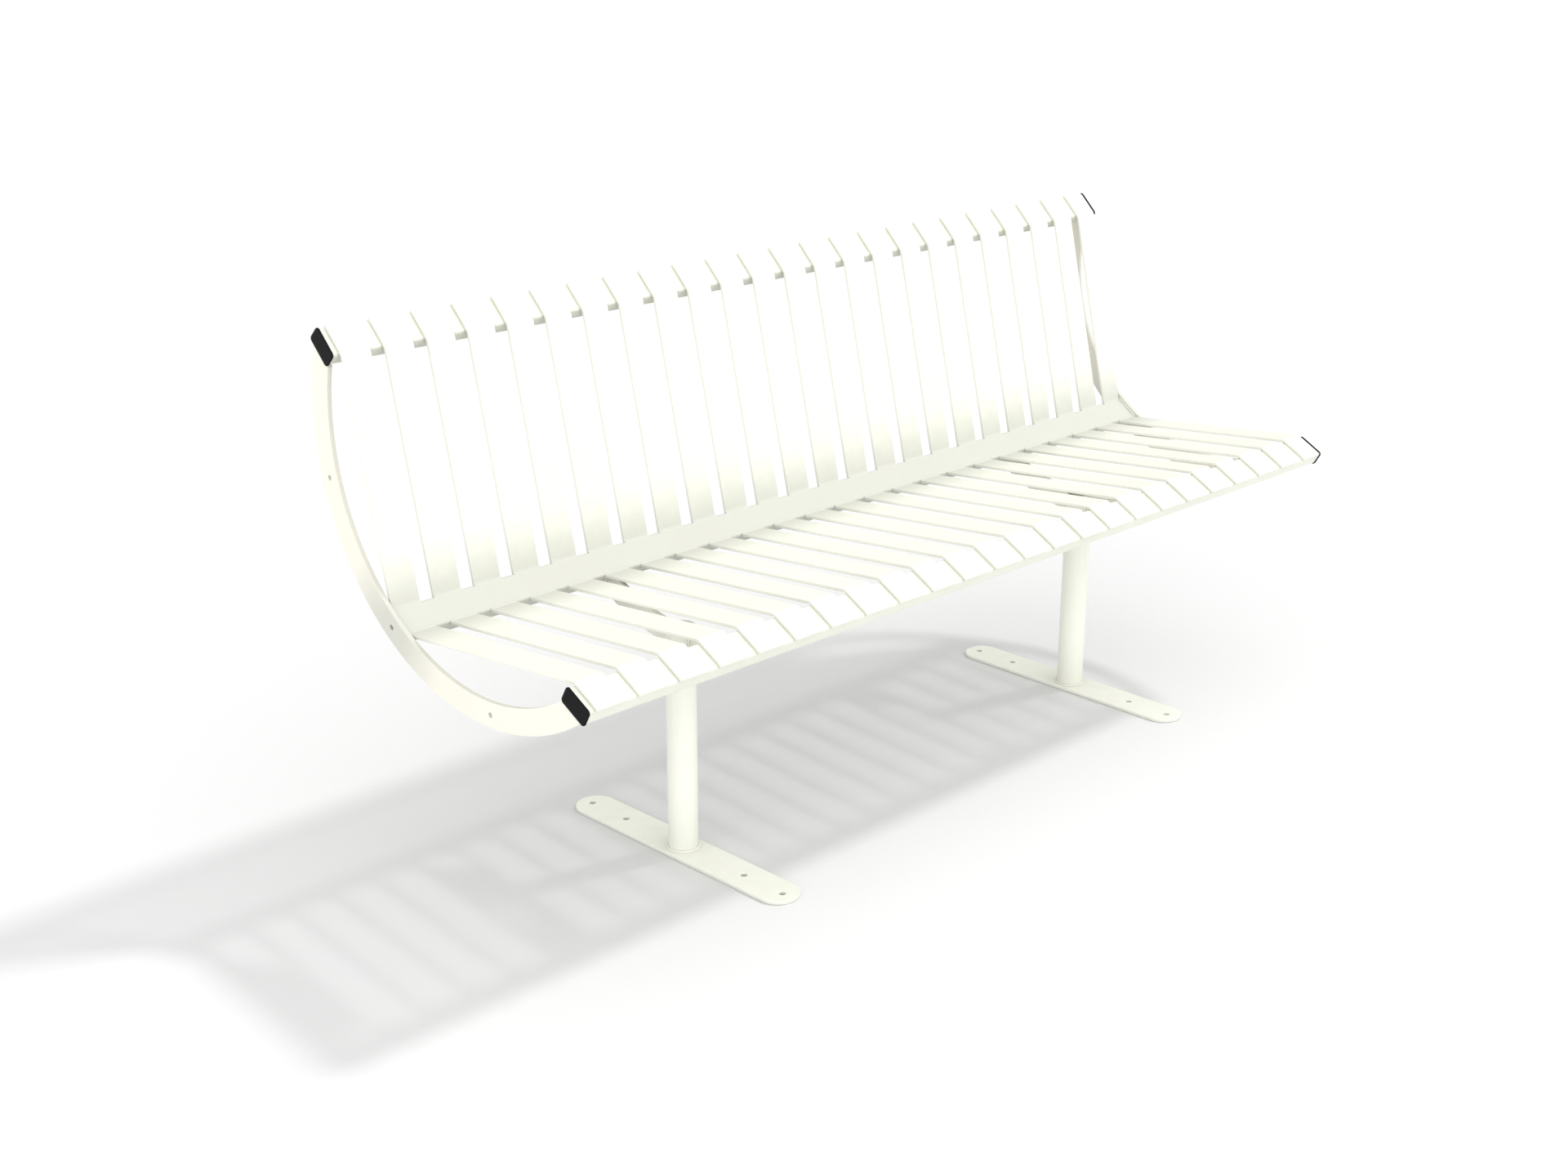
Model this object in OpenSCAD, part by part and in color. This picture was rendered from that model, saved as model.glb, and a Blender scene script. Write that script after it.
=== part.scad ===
// Garden bench of welded steel strip.
// Twenty-four bent strips for the back and twenty-four for the seat are welded
// between three rectangular rails. A curved bar closes each end, and two shorter
// bars under the seat stand in round posts on flat feet.
// Millimetres, +Z up. X runs along the bench, -Y is the sitter's side and the
// floor is Z = 0. The origin is under the middle of the bounding box.

/* [Slats] */
// How many slats the back has, and the seat as many
slat_count = 24; // [8:1:24]
// Width of one steel strip
slat_width = 50; // [30:1:80]
// Open gap between neighbouring strips
slat_gap = 25; // [10:1:45]
// Thickness of the strip
slat_thickness = 5; // [3:0.5:8]
// Radius inside each bend of the strip
slat_bend_radius = 4; // [2:0.5:12]
// Length of strip folded over a rail
slat_fold_length = 55; // [40:1:80]

/* [Seat and back] */
// Height above the floor of the line where back and seat would meet
valley_height = 422; // [360:1:470]
// Length of the back, from that line up to its fold
back_length = 410; // [300:1:550]
// Length of the seat, from that line forward to its fold
seat_length = 415; // [340:1:520]
// Lean of the back away from upright
back_recline = 13.4; // [5:0.1:25]
// Rise of the seat towards its front edge
seat_rise = 5.4; // [0:0.1:10]
// Slope of the folded top edge above level
top_fold_slope = 45; // [20:1:60]
// Slope of the folded front edge below level
front_fold_slope = 29; // [10:1:60]

/* [Rails] */
// Width of the rectangular tube, along its face
rail_width = 50; // [30:1:60]
// Depth of the rectangular tube, behind its face
rail_depth = 25; // [15:1:40]
// Corner radius of the tube
rail_corner = 4; // [2:0.5:8]
// Wall of the tube
rail_wall = 2; // [1.5:0.5:3]
// Distance from the strip's upper bend to the edge of the top rail
top_rail_setback = 4; // [1:0.5:10]
// Distance from the strip's front bend to the edge of the front rail
front_rail_setback = 2; // [1:0.5:10]
// Clear space between the last strip and the bar that closes the end
end_clearance = 1.5; // [0.5:0.5:20]

/* [End caps] */
// Thickness of the cap's plate outside the tube
cap_plate = 3; // [2:0.5:6]
// Overhang of the cap's plate around the tube
cap_overhang = 2; // [0:0.5:3]
// Depth of the cap's plug inside the tube
cap_plug_depth = 15; // [8:1:30]
// Wall of the cap's hollow plug
cap_plug_wall = 2; // [1.5:0.5:4]
// Play left around the plug
cap_clearance = 0.2; // [0.1:0.05:0.5]

/* [Curved bars] */
// Outer radius of the curved bars
arc_radius = 383; // [340:1:430]
// Depth of the curved bars, from inner to outer edge
arc_depth = 40; // [30:1:60]
// Distance from the valley line to the centre of the curve
arc_centre_distance = 373.5; // [320:0.5:420]
// Thickness of the curved bars
arc_thickness = 8; // [5:1:12]
// Diameter of the holes in the two end bars
end_hole_diameter = 8; // [4:0.5:14]
// Angle of the first hole, below level and behind the centre of the curve
end_hole_start = 15; // [5:1:30]
// Angle from each hole to the next
end_hole_step = 39; // [20:1:45]

/* [Legs] */
// Distance between the two posts
leg_spacing = 1000; // [500:10:1400]
// Distance from the valley line forward to the middle of the posts
leg_forward = 196; // [120:1:260]
// Outer diameter of a post
post_diameter = 48.3; // [33.7:0.1:60.3]
// Wall of a post
post_wall = 3.2; // [2:0.1:5]
// Depth of the slot that takes the inner bar
post_slot_depth = 40; // [8:1:44]
// Length of a foot plate
foot_length = 500; // [360:5:620]
// Width of a foot plate
foot_width = 70; // [56:1:110]
// Thickness of a foot plate
foot_thickness = 6; // [4:1:12]
// Diameter of an anchor hole
anchor_diameter = 11; // [8:0.5:14]
// Distance between the two outer anchor holes of a foot
anchor_outer_spacing = 450; // [300:5:580]
// Distance between the two inner anchor holes of a foot
anchor_inner_spacing = 280; // [140:5:400]

/* [Hidden] */
$fn = 96;
// A little more than touching, so that one shape cuts cleanly through another
over = 1;

slat_pitch = slat_width + slat_gap;
slats_length = slat_count * slat_pitch - slat_gap;
end_bar_inside = slats_length / 2 + end_clearance;
rail_end = end_bar_inside + arc_thickness;
rail_length = 2 * rail_end;

// Directions are angles in the side view, from +Y (backwards) towards +Z (up)
back_angle = 90 - back_recline;
seat_angle = 180 - seat_rise;
top_fold_angle = top_fold_slope;
front_fold_angle = 180 + front_fold_slope;
// Half the angle between back and seat, and the direction half-way between
half_angle = (seat_angle - back_angle) / 2;
middle_angle = (seat_angle + back_angle) / 2;

function unit(a) = [cos(a), sin(a)];

// Side-view points, measured from the valley line
back_bend = back_length * unit(back_angle);
seat_bend = seat_length * unit(seat_angle);
arc_centre = arc_centre_distance * unit(middle_angle);
arc_middle = arc_radius - arc_depth / 2;
// Distance from the valley line to the face of the valley rail, which is flush
// with the strips it joins
valley_face = (slat_thickness / 2) / sin(half_angle) + (rail_width / 2) / tan(half_angle);
// Where a strip's front surface meets the valley rail, along the strip
slat_start = (slat_thickness / 2) / tan(half_angle) + (rail_width / 2) / sin(half_angle);
top_rail_centre = back_bend
    + (top_rail_setback + rail_width / 2) * unit(top_fold_angle)
    - (slat_thickness / 2 + rail_depth / 2) * unit(top_fold_angle + 90);
front_rail_centre = seat_bend
    + (front_rail_setback + rail_width / 2) * unit(front_fold_angle)
    - (slat_thickness / 2 + rail_depth / 2) * unit(front_fold_angle - 90);
valley_rail_centre = (valley_face - rail_depth / 2) * unit(middle_angle);

// The deepest point of the curved bar above a post, and the post's top
arc_over_post = arc_centre[1]
    - sqrt(arc_radius * arc_radius - pow(leg_forward + arc_centre[0], 2));
post_top = valley_height + arc_over_post + post_slot_depth;

// The valley line lies this far behind the middle of the bounding box
back_reach = arc_centre[0] + arc_radius;
front_reach = -seat_bend[0] - slat_fold_length * unit(front_fold_angle)[0]
    + (slat_thickness / 2) * sin(front_fold_slope);
valley_y = (front_reach - back_reach) / 2;

steel_cream = [0.95, 0.94, 0.87];
bar_cream = [0.94, 0.92, 0.86];
cap_black = [0.06, 0.06, 0.06];

function two_digits(i) = str(i < 10 ? "0" : "", i);
function back_name(i) = str("back_slat_", two_digits(i));
function seat_name(i) = str("seat_slat_", two_digits(i));

// Extrudes a side view (Y across, Z up, measured from the valley line) along X
module along_x(x, length) {
    translate([x, valley_y, valley_height])
        rotate([90, 0, 90])
            linear_extrude(height = length)
                children();
}

module rounded_rectangle(w, d, r) {
    square([w - 2 * r, d], center = true);
    square([w, d - 2 * r], center = true);
    for (sx = [-1, 1])
        for (sy = [-1, 1])
            translate([sx * (w / 2 - r), sy * (d / 2 - r)])
                circle(r = r);
}

// Places a side-view shape drawn about a rail's own middle, width along the face
module at_rail(centre, face_angle) {
    translate(centre)
        rotate(face_angle)
            children();
}

module tube_section() {
    difference() {
        rounded_rectangle(rail_width, rail_depth, rail_corner);
        rounded_rectangle(rail_width - 2 * rail_wall, rail_depth - 2 * rail_wall,
            rail_corner - rail_wall / 2);
    }
}

module top_rail() {
    color(steel_cream)
        along_x(-rail_end, rail_length)
            at_rail(top_rail_centre, top_fold_angle)
                tube_section();
}

module front_rail() {
    color(steel_cream)
        along_x(-rail_end, rail_length)
            at_rail(front_rail_centre, front_fold_angle)
                tube_section();
}

module valley_rail() {
    color(steel_cream)
        along_x(-end_bar_inside, 2 * end_bar_inside)
            at_rail(valley_rail_centre, middle_angle - 90)
                tube_section();
}

// One moulded cap, drawn at the left end of a rail; side is 1 for the right end
module rail_end_cap(centre, face_angle, side) {
    plug_width = rail_width - 2 * rail_wall - 2 * cap_clearance;
    plug_height = rail_depth - 2 * rail_wall - 2 * cap_clearance;
    plate_x = side > 0 ? rail_end : -rail_end - cap_plate;
    plug_x = side > 0 ? rail_end - cap_plug_depth : -rail_end;
    along_x(plate_x, cap_plate)
        at_rail(centre, face_angle)
            rounded_rectangle(rail_width + 2 * cap_overhang, rail_depth + 2 * cap_overhang,
                rail_corner + cap_overhang);
    along_x(plug_x, cap_plug_depth)
        at_rail(centre, face_angle)
            difference() {
                rounded_rectangle(plug_width, plug_height, rail_corner - rail_wall / 2);
                square([plug_width - 2 * cap_plug_wall, plug_height - 2 * cap_plug_wall],
                    center = true);
            }
}

// Four identical push-in caps, one on each open end of the top and front rails
module rail_end_caps() {
    color(cap_black)
        for (side = [-1, 1]) {
            rail_end_cap(top_rail_centre, top_fold_angle, side);
            rail_end_cap(front_rail_centre, front_fold_angle, side);
        }
}

// The space on the outer side of a rail's rear face, where a curved bar stops
module beyond_rail(centre, face_angle, outwards) {
    at_rail(centre, face_angle)
        translate([-3 * rail_width, outwards > 0 ? -rail_depth / 2 : -6 * rail_width + rail_depth / 2])
            square([6 * rail_width, 6 * rail_width]);
}

// The angle round a curved bar's centre where its curve ends near a rail. A rail
// that lies outside the curve is met by a straight run, tangent to the curve
function arc_end(rail_centre, way, otherwise) =
    let (v = rail_centre - arc_centre)
    norm(v) > arc_middle ? atan2(v[1], v[0]) - way * acos(arc_middle / norm(v)) : otherwise;

module straight_run(rail_centre, way) {
    away = norm(rail_centre - arc_centre);
    if (away > arc_middle) {
        // Long enough to pass the rail's rear face, where the bar is cut off
        run = sqrt(away * away - arc_middle * arc_middle) + arc_depth;
        translate(arc_centre)
            rotate(arc_end(rail_centre, way, 0))
                translate([arc_radius - arc_depth, way > 0 ? 0 : -run])
                    square([arc_depth, run]);
    }
}

// Side view of a curved bar, from the front rail's rear face to the top rail's
module arc_bar_profile() {
    reach = 2 * arc_radius;
    first = arc_end(front_rail_centre, -1, -135);
    last = arc_end(top_rail_centre, 1, 25);
    difference() {
        union() {
            intersection() {
                translate(arc_centre)
                    difference() {
                        circle(r = arc_radius, $fn = 360);
                        circle(r = arc_radius - arc_depth, $fn = 360);
                    }
                translate(arc_centre)
                    polygon([[0, 0], for (i = [0 : 4]) reach * unit(first + i * (last - first) / 4)]);
            }
            straight_run(top_rail_centre, 1);
            straight_run(front_rail_centre, -1);
        }
        beyond_rail(top_rail_centre, top_fold_angle, 1);
        beyond_rail(front_rail_centre, front_fold_angle, -1);
    }
}

// An end bar closes the ends of the three rails and has three holes
module end_bar(x) {
    color(bar_cream)
        along_x(x, arc_thickness)
            difference() {
                arc_bar_profile();
                for (i = [0 : 2])
                    translate(arc_centre
                        + (arc_radius - arc_depth / 2) * unit(-end_hole_start - i * end_hole_step))
                        circle(d = end_hole_diameter);
            }
}

// An inner bar runs from the front rail to the back edge of the valley rail. It
// is notched for the valley rail and trimmed to lie under the seat strips
module inner_bar(x) {
    color(bar_cream)
        along_x(x - arc_thickness / 2, arc_thickness)
            difference() {
                arc_bar_profile();
                rotate(middle_angle - 90)
                    translate([-rail_width / 2, valley_face - rail_depth])
                        square([rail_width, arc_depth]);
                rotate(middle_angle - 90)
                    translate([rail_width / 2, -arc_radius])
                        square([2 * arc_radius, 3 * arc_radius]);
                rotate(seat_angle)
                    translate([0, slat_thickness / 2 - arc_depth])
                        square([seat_length, arc_depth]);
            }
}

// Side view of a strip that runs out along +X and turns by "turn" degrees;
// its front surface is on the side "front" (1 for +Y, -1 for -Y)
module strip_profile(length, turn, front) {
    half = slat_thickness / 2;
    side = turn > 0 ? 1 : -1;
    mid_radius = slat_bend_radius + half;
    tangent = mid_radius * tan(abs(turn) / 2);
    bevel = slat_thickness / tan(half_angle);
    first = front > 0
        ? [[slat_start - bevel, -half], [slat_start, half]]
        : [[slat_start, -half], [slat_start - bevel, half]];
    polygon([first[0], [length - tangent, -half], [length - tangent, half], first[1]]);
    translate([length - tangent, side * mid_radius])
        intersection() {
            difference() {
                circle(r = mid_radius + half);
                circle(r = mid_radius - half);
            }
            polygon([[0, 0],
                for (k = [0 : 3]) 4 * mid_radius * unit(-side * 90 + turn * k / 3)]);
        }
    translate([length, 0])
        rotate(turn)
            translate([tangent, -half])
                square([slat_fold_length - tangent, slat_thickness]);
}

function slat_x(i) = -slats_length / 2 + (i - 1) * slat_pitch;

// One strip of the back, from the valley rail up and over the top rail
module back_slat(i) {
    color(steel_cream)
        along_x(slat_x(i), slat_width)
            rotate(back_angle)
                strip_profile(back_length, top_fold_angle - back_angle, 1);
}

// One strip of the seat, from the valley rail forward and down over the front rail
module seat_slat(i) {
    color(steel_cream)
        along_x(slat_x(i), slat_width)
            rotate(seat_angle)
                strip_profile(seat_length, front_fold_angle - seat_angle, -1);
}

// A round post, slotted at the top for its inner bar
module post(x) {
    color(steel_cream)
        difference() {
            translate([x, valley_y - leg_forward, foot_thickness])
                difference() {
                    cylinder(h = post_top - foot_thickness, d = post_diameter);
                    translate([0, 0, -over])
                        cylinder(h = post_top - foot_thickness + 2 * over,
                            d = post_diameter - 2 * post_wall);
                }
            along_x(x - arc_thickness / 2, arc_thickness)
                translate(arc_centre)
                    circle(r = arc_radius, $fn = 360);
        }
}

// A flat foot with rounded ends and four anchor holes in line
module foot(x) {
    color(steel_cream)
        translate([x, valley_y - leg_forward, 0])
            difference() {
                linear_extrude(height = foot_thickness)
                    union() {
                        square([foot_width, foot_length - foot_width], center = true);
                        for (s = [-1, 1])
                            translate([0, s * (foot_length - foot_width) / 2])
                                circle(d = foot_width);
                    }
                for (y = [anchor_outer_spacing / 2, anchor_inner_spacing / 2])
                    for (s = [-1, 1])
                        translate([0, s * y, -over])
                            cylinder(h = foot_thickness + 2 * over, d = anchor_diameter);
            }
}

top_rail();
valley_rail();
front_rail();
rail_end_caps();
end_bar(-rail_end);  // end_bar_left
end_bar(end_bar_inside);  // end_bar_right
inner_bar(-leg_spacing / 2);  // inner_bar_left
inner_bar(leg_spacing / 2);  // inner_bar_right
post(-leg_spacing / 2);  // post_left
post(leg_spacing / 2);  // post_right
foot(-leg_spacing / 2);  // foot_left
foot(leg_spacing / 2);  // foot_right
for (i = [1 : slat_count]) {
    back_slat(i);
    seat_slat(i);
}
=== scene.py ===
# Garden bench of cream powder-coated steel: bent strips over three rectangular
# tubes, tied by curved flat bars and carried on two round posts with flat feet.
# Metres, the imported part's own frame: X along the bench, -Y the sitter's side.
import math

import bmesh
import bpy
from mathutils import Matrix, Vector
from mathutils.geometry import tessellate_polygon


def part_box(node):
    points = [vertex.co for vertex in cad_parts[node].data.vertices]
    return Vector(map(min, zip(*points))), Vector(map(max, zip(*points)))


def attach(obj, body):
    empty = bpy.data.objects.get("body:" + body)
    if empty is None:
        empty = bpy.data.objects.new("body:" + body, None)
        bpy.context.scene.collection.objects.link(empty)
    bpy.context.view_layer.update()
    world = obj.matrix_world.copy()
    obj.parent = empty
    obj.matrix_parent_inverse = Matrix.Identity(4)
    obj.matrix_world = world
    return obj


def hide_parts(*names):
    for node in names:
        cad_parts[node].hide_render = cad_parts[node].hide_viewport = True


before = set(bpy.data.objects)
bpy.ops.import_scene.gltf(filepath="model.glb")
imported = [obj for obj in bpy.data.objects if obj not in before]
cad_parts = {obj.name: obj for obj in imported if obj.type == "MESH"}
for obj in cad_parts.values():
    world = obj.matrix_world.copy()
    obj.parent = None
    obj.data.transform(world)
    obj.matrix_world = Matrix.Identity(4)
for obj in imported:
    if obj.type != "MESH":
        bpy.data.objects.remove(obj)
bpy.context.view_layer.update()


# --- Top rail and front rail -------------------------------------------------
# Two 50 x 25 mm rectangular steel tubes with 2 mm walls run the whole length,
# one under the folded top edge of the back, one under the front edge of the seat.

RAIL_WIDTH = 0.050
RAIL_DEPTH = 0.025
RAIL_CORNER = 0.004
RAIL_WALL = 0.002
STRIP_THICK = 0.005
BACK_LENGTH = 0.410
SEAT_LENGTH = 0.415
BACK_ANGLE = 90 - 13.4
SEAT_ANGLE = 180 - 5.4
TOP_FOLD_ANGLE = 45.0
FRONT_FOLD_ANGLE = 180 + 29.0
TOP_RAIL_SETBACK = 0.004
FRONT_RAIL_SETBACK = 0.002

# Side views are drawn about the line where back and seat would meet.
LEG_FORWARD = 0.196
VALLEY_Y = sum(p.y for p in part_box("post_left")) / 2 + LEG_FORWARD
VALLEY_Z = 0.422
RAIL_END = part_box("top_rail")[1].x


def unit(degrees):
    """Direction in the side view, from backwards (+Y) towards up (+Z)."""
    a = math.radians(degrees)
    return Vector((math.cos(a), math.sin(a)))


def side_view(p, x):
    return Vector((x, VALLEY_Y + p[0], VALLEY_Z + p[1]))


def arc(centre, radius, start, end, steps):
    """Points along an arc, both ends included."""
    return [Vector(centre) + radius * unit(start + (end - start) * k / steps)
            for k in range(steps + 1)]


def rounded_box(width, depth, corner, steps=6):
    """Anticlockwise outline of a rounded rectangle about the origin."""
    points = []
    for turn, (sx, sy) in enumerate([(1, -1), (1, 1), (-1, 1), (-1, -1)]):
        middle = (sx * (width / 2 - corner), sy * (depth / 2 - corner))
        points += arc(middle, corner, 90 * turn - 90, 90 * turn, steps)
    return points


def inset(loop, distance):
    """The loop moved by a distance into the material on its left."""
    moved = []
    for before, point, after in zip(loop[-1:] + loop[:-1], loop, loop[1:] + loop[:1]):
        d1, d2 = (point - before).normalized(), (after - point).normalized()
        n1, n2 = Vector((-d1.y, d1.x)), Vector((-d2.y, d2.x))
        moved.append(point + (n1 + n2) * distance / max(0.2, 1 + n1.dot(n2)))
    return moved


def soft_edges(low, high, radius, steps=3):
    """Heights and insets of a slab whose two rims are rounded."""
    rim = [(radius * (1 - unit(90 * k / steps)[0]), radius * (1 - unit(90 * k / steps)[1]))
           for k in range(steps + 1)]
    return ([(low + h, i) for h, i in rim] + [(high - h, i) for h, i in reversed(rim)])


def add_slab(bm, loops, rings, place):
    """A closed solid through every ring; loops are an outline, then its holes.

    Each ring is a height and an inset. The rounded rims are marked "rim"."""
    rim_layer = bm.verts.layers.float.get("rim") or bm.verts.layers.float.new("rim")
    deepest = max(i for _, i in rings)
    stack = []
    for height, depth in rings:
        flat = depth == 0 or depth == deepest
        ring = []
        for loop in loops:
            verts = [bm.verts.new(place(p, height)) for p in inset(loop, depth)]
            for v in verts:
                v[rim_layer] = 0.35 if flat else 1.0
            ring.append(verts)
        stack.append(ring)
    for lower, upper in zip(stack, stack[1:]):
        for a, b in zip(lower, upper):
            for k in range(len(a)):
                bm.faces.new((a[k - 1], a[k], b[k], b[k - 1]))
    for ring, (height, depth), turn in ((stack[0], rings[0], -1), (stack[-1], rings[-1], 1)):
        flat_loops = [[Vector((*p, 0)) for p in inset(loop, depth)] for loop in loops]
        verts = [v for loop in ring for v in loop]
        for triangle in tessellate_polygon(flat_loops):
            corners = [verts[k] for k in triangle]
            if len(set(corners)) == 3:
                bm.faces.new(corners[::turn])


def mesh_from(bm, name):
    """A finished mesh: doubles merged, faces outwards, smooth."""
    bmesh.ops.remove_doubles(bm, verts=bm.verts, dist=1e-7)
    bmesh.ops.recalc_face_normals(bm, faces=bm.faces)
    mesh = bpy.data.meshes.new(name)
    bm.to_mesh(mesh)
    bm.free()
    mesh.shade_smooth()
    return mesh


def new_object(mesh, material=None):
    thing = bpy.data.objects.new(mesh.name, mesh)
    bpy.context.scene.collection.objects.link(thing)
    if material:
        mesh.materials.append(material)
    return thing


def settle(thing):
    """Turns an object's live modifiers into its own plain mesh."""
    bpy.context.view_layer.update()
    seen = thing.evaluated_get(bpy.context.evaluated_depsgraph_get())
    made = bpy.data.meshes.new_from_object(seen)
    made.name = thing.name
    thing.modifiers.clear()
    thing.data = made
    return thing


def even_normals(thing):
    """Keeps the flats flat beside their soft edges."""
    weighted = thing.modifiers.new("even_normals", "WEIGHTED_NORMAL")
    weighted.mode = "FACE_AREA_WITH_ANGLE"
    weighted.weight = 100
    return settle(thing)


def hand_over(thing, finish, *nodes):
    """The piece rides on the bench and stands for these parts of the frame."""
    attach(thing, "root")
    if nodes:
        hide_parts(*nodes)


class Signal:
    """A socket in a material; arithmetic on it adds Math nodes."""

    def __init__(self, tree, socket):
        self.tree, self.socket = tree, socket

    def math(self, operation, a, b):
        return node(self.tree, "ShaderNodeMath", {"operation": operation}, {0: a, 1: b})

    def __add__(self, other):
        return self.math("ADD", self, other)

    def __radd__(self, other):
        return self.math("ADD", other, self)

    def __sub__(self, other):
        return self.math("SUBTRACT", self, other)

    def __rsub__(self, other):
        return self.math("SUBTRACT", other, self)

    def __mul__(self, other):
        return self.math("MULTIPLY", self, other)

    def __rmul__(self, other):
        return self.math("MULTIPLY", other, self)


def node(tree, kind, settings=None, sockets=None, output=0):
    """Adds a node: settings first, then the values or links of its sockets."""
    made = tree.nodes.new(kind)
    for name, value in (settings or {}).items():
        setattr(made, name, value)
    for key, value in (sockets or {}).items():
        if isinstance(value, Signal):
            tree.links.new(value.socket, made.inputs[key])
        else:
            made.inputs[key].default_value = value
    return Signal(tree, made.outputs[output])


def ramp(tree, value, low, high):
    """0 below low, 1 above high, smooth between."""
    return node(tree, "ShaderNodeMapRange", {"interpolation_type": "SMOOTHSTEP"},
                {"Value": value, "From Min": low, "From Max": high})


def blend(tree, factor, a, b):
    """Mixes two colours."""
    return node(tree, "ShaderNodeMix", {"data_type": "RGBA"}, {0: factor, 6: a, 7: b}, 2)


# The coats also carry painted shade, which does not follow the lights: a little in every
# corner, and a band along the valley by distance from its line.
CORNER_REACH = 0.12
CORNER_SHADE = 0.50
VALLEY_SHADE = 0.80
VALLEY_SHADE_FULL = 0.020
VALLEY_SHADE_END = 0.135


def powder_coat(name, colour, shade, peel=1.0):
    """Satin powder coat: orange peel, faint mottling, thinner on the rims, painted shade."""
    material = bpy.data.materials.new(name)
    material.use_nodes = True
    tree = material.node_tree
    shader = tree.nodes["Principled BSDF"]
    where = node(tree, "ShaderNodeTexCoord", output="Object")

    def noise(scale, detail, output=0):
        return node(tree, "ShaderNodeTexNoise", None,
                    {"Vector": where, "Scale": scale, "Detail": detail}, output)

    cloud, patch = noise(5.0, 3.0), noise(38.0, 4.0)
    fine, soft = noise(620.0, 1.0), noise(190.0, 2.0)
    speck = node(tree, "ShaderNodeTexVoronoi", None, {"Vector": where, "Scale": 70.0})
    rim = node(tree, "ShaderNodeAttribute", {"attribute_name": "rim"}, output="Fac")
    tone = node(tree, "ShaderNodeAttribute", {"attribute_name": "tone"}, output="Fac")
    facing = node(tree, "ShaderNodeSeparateXYZ", None,
                  {0: node(tree, "ShaderNodeNewGeometry", output="Normal")}, "Z")
    dust = ramp(tree, facing, 0.35, 0.95) * ramp(tree, patch, 0.42, 0.72)
    thin = ramp(tree, rim, 0.5, 1.0) * ramp(tree, patch, 0.40, 0.66)
    dot = 1 - ramp(tree, speck, 0.02, 0.07)

    mottled = blend(tree, ramp(tree, cloud, 0.35, 0.65), shade, colour)
    toned = blend(tree, tone * 0.35, mottled, shade)
    worn = blend(tree, thin * 0.25, toned, (0.60, 0.58, 0.51, 1))
    dusty = blend(tree, dust * 0.08, worn, (0.60, 0.57, 0.49, 1))
    specked = blend(tree, dot * 0.10, dusty, (0.38, 0.35, 0.29, 1))
    # Painted shade: darker in every corner, the more closed in the surface is.
    open_air = node(tree, "ShaderNodeAmbientOcclusion", {"samples": 6},
                    {"Distance": CORNER_REACH}, 1)
    cornered = blend(tree, (1 - open_air) * CORNER_SHADE, specked, (0.34, 0.33, 0.29, 1))
    # Painted shade: a darker band along the valley, by distance from its line.
    from_valley = node(tree, "ShaderNodeVectorMath", {"operation": "LENGTH"}, {
        0: node(tree, "ShaderNodeVectorMath", {"operation": "MULTIPLY_ADD"}, {
            0: where, 1: (0, 1, 1), 2: (0, -VALLEY_Y, -VALLEY_Z)})}, 1)
    in_valley = 1 - ramp(tree, from_valley + (patch - 0.5) * 0.03,
                         VALLEY_SHADE_FULL, VALLEY_SHADE_END)
    shaded = blend(tree, in_valley * VALLEY_SHADE, cornered, (0.490, 0.496, 0.440, 1))
    tree.links.new(shaded.socket, shader.inputs["Base Color"])
    gloss = 0.40 + (patch - 0.5) * 0.16 + dust * 0.16 - thin * 0.06
    tree.links.new(gloss.socket, shader.inputs["Roughness"])
    shader.inputs["Specular IOR Level"].default_value = 0.5
    shader.inputs["Coat Roughness"].default_value = 0.25
    tree.links.new((0.10 + cloud * 0.10).socket, shader.inputs["Coat Weight"])
    height = fine * 0.55 + soft * 0.9 + cloud * 2.0
    bump = node(tree, "ShaderNodeBump", None,
                {"Height": height, "Strength": 0.55 * peel, "Distance": 0.00012})
    tree.links.new(bump.socket, shader.inputs["Normal"])
    return material


rail_coat = powder_coat("rail_coat", (0.742, 0.752, 0.665, 1), (0.722, 0.730, 0.640, 1))
BACK_BEND = BACK_LENGTH * unit(BACK_ANGLE)
SEAT_BEND = SEAT_LENGTH * unit(SEAT_ANGLE)
STACK = STRIP_THICK / 2 + RAIL_DEPTH / 2
TOP_RAIL = (BACK_BEND + (TOP_RAIL_SETBACK + RAIL_WIDTH / 2) * unit(TOP_FOLD_ANGLE)
            - STACK * unit(TOP_FOLD_ANGLE + 90))
FRONT_RAIL = (SEAT_BEND + (FRONT_RAIL_SETBACK + RAIL_WIDTH / 2) * unit(FRONT_FOLD_ANGLE)
              - STACK * unit(FRONT_FOLD_ANGLE - 90))
RAIL_SAW_EDGE = 0.0003


def on_rail(loop, centre, angle):
    """A section drawn flat, turned and moved to a rail."""
    along, across = unit(angle), unit(angle + 90)
    return [centre + p[0] * along + p[1] * across for p in loop]


def tube_loops(centre, angle):
    """Outline and bore of the tube; the bore runs clockwise."""
    bore = rounded_box(RAIL_WIDTH - 2 * RAIL_WALL, RAIL_DEPTH - 2 * RAIL_WALL,
                       RAIL_CORNER - RAIL_WALL / 2)
    return [on_rail(rounded_box(RAIL_WIDTH, RAIL_DEPTH, RAIL_CORNER), centre, angle),
            on_rail(bore, centre, angle)[::-1]]


for name, centre, angle in (("top_rail", TOP_RAIL, TOP_FOLD_ANGLE),
                            ("front_rail", FRONT_RAIL, FRONT_FOLD_ANGLE)):
    bm = bmesh.new()
    add_slab(bm, tube_loops(centre, angle), soft_edges(-RAIL_END, RAIL_END, RAIL_SAW_EDGE, 1),
             side_view)
    rail = even_normals(new_object(mesh_from(bm, name + "_tube"), rail_coat))
    hand_over(rail, "strip_coat", name)


# --- Valley rail -------------------------------------------------------------
# The third tube lies where back and seat meet, its face flush with the strips
# that are welded to its two long edges. It stops between the two end bars.

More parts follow.
